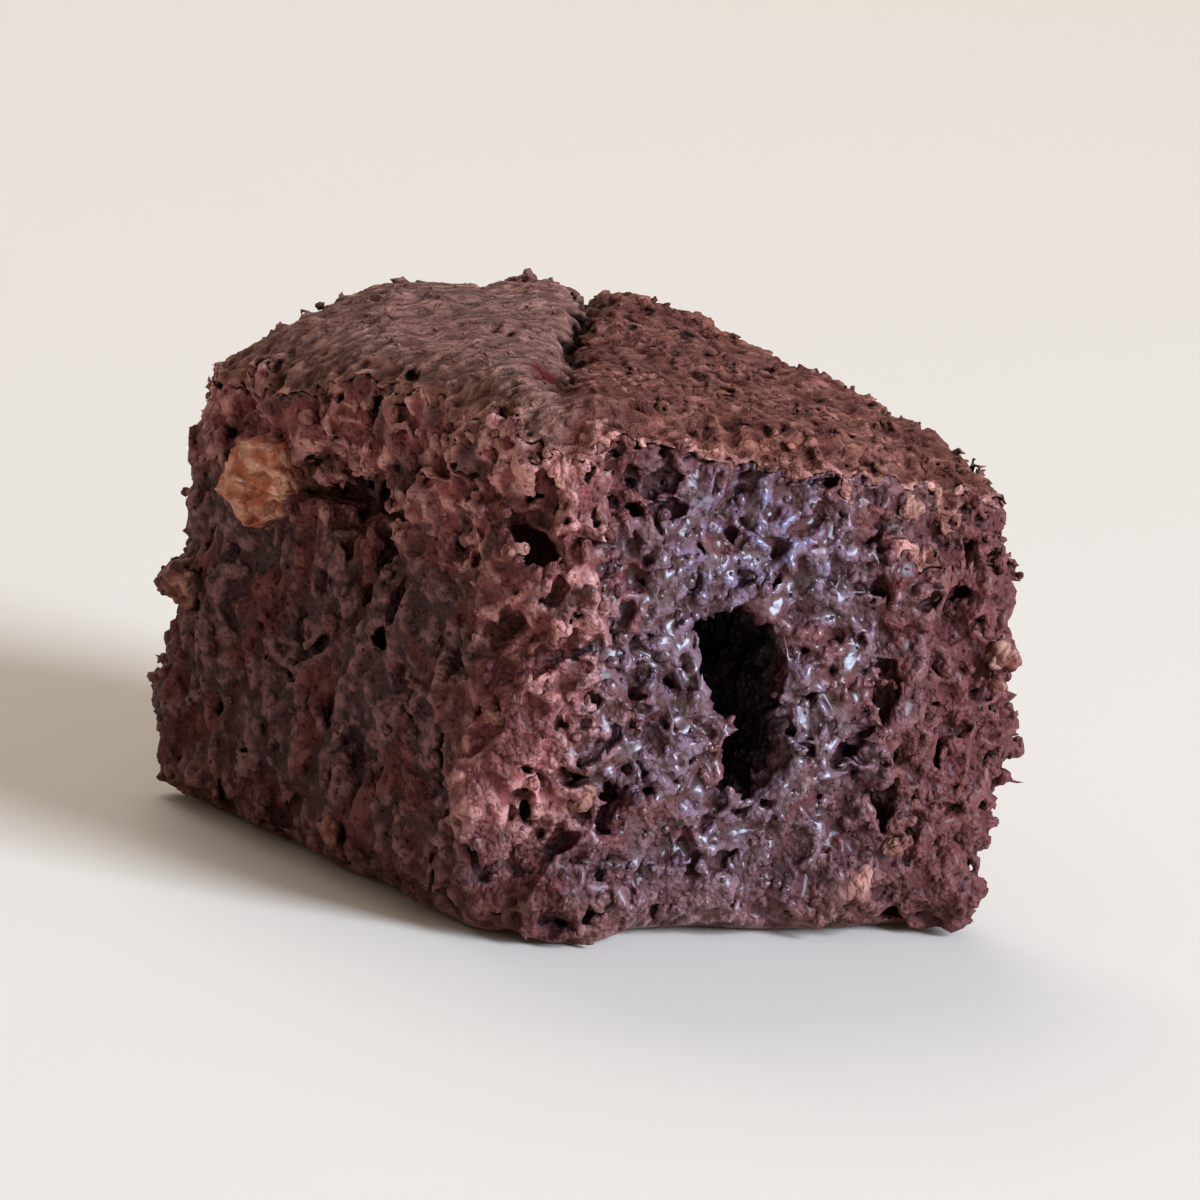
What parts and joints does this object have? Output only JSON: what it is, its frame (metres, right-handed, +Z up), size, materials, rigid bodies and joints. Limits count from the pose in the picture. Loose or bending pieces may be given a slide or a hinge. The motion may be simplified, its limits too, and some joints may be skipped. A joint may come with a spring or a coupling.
{
  "type": "fudge brownie chunk",
  "caption": "Bite-sized chunk of fudge brownie with a wrinkled crust on top, moist open crumb on the torn side and a flat baked base.",
  "frame": {"origin": "middle of the bounding box's bottom, on the flat baked base", "axes": "+Z up through the crust, -Y out of the torn crumb side with the large burst bubble, -X out of the smoother cut side"},
  "size_m": [0.0258, 0.0254, 0.0203],
  "materials": {
    "brownie_crumb": "moist dark chocolate crumb with a drier brown crust on top"
  },
  "bodies": {
    "root": {"brownie": "brownie_crumb"}
  },
  "joints": []
}
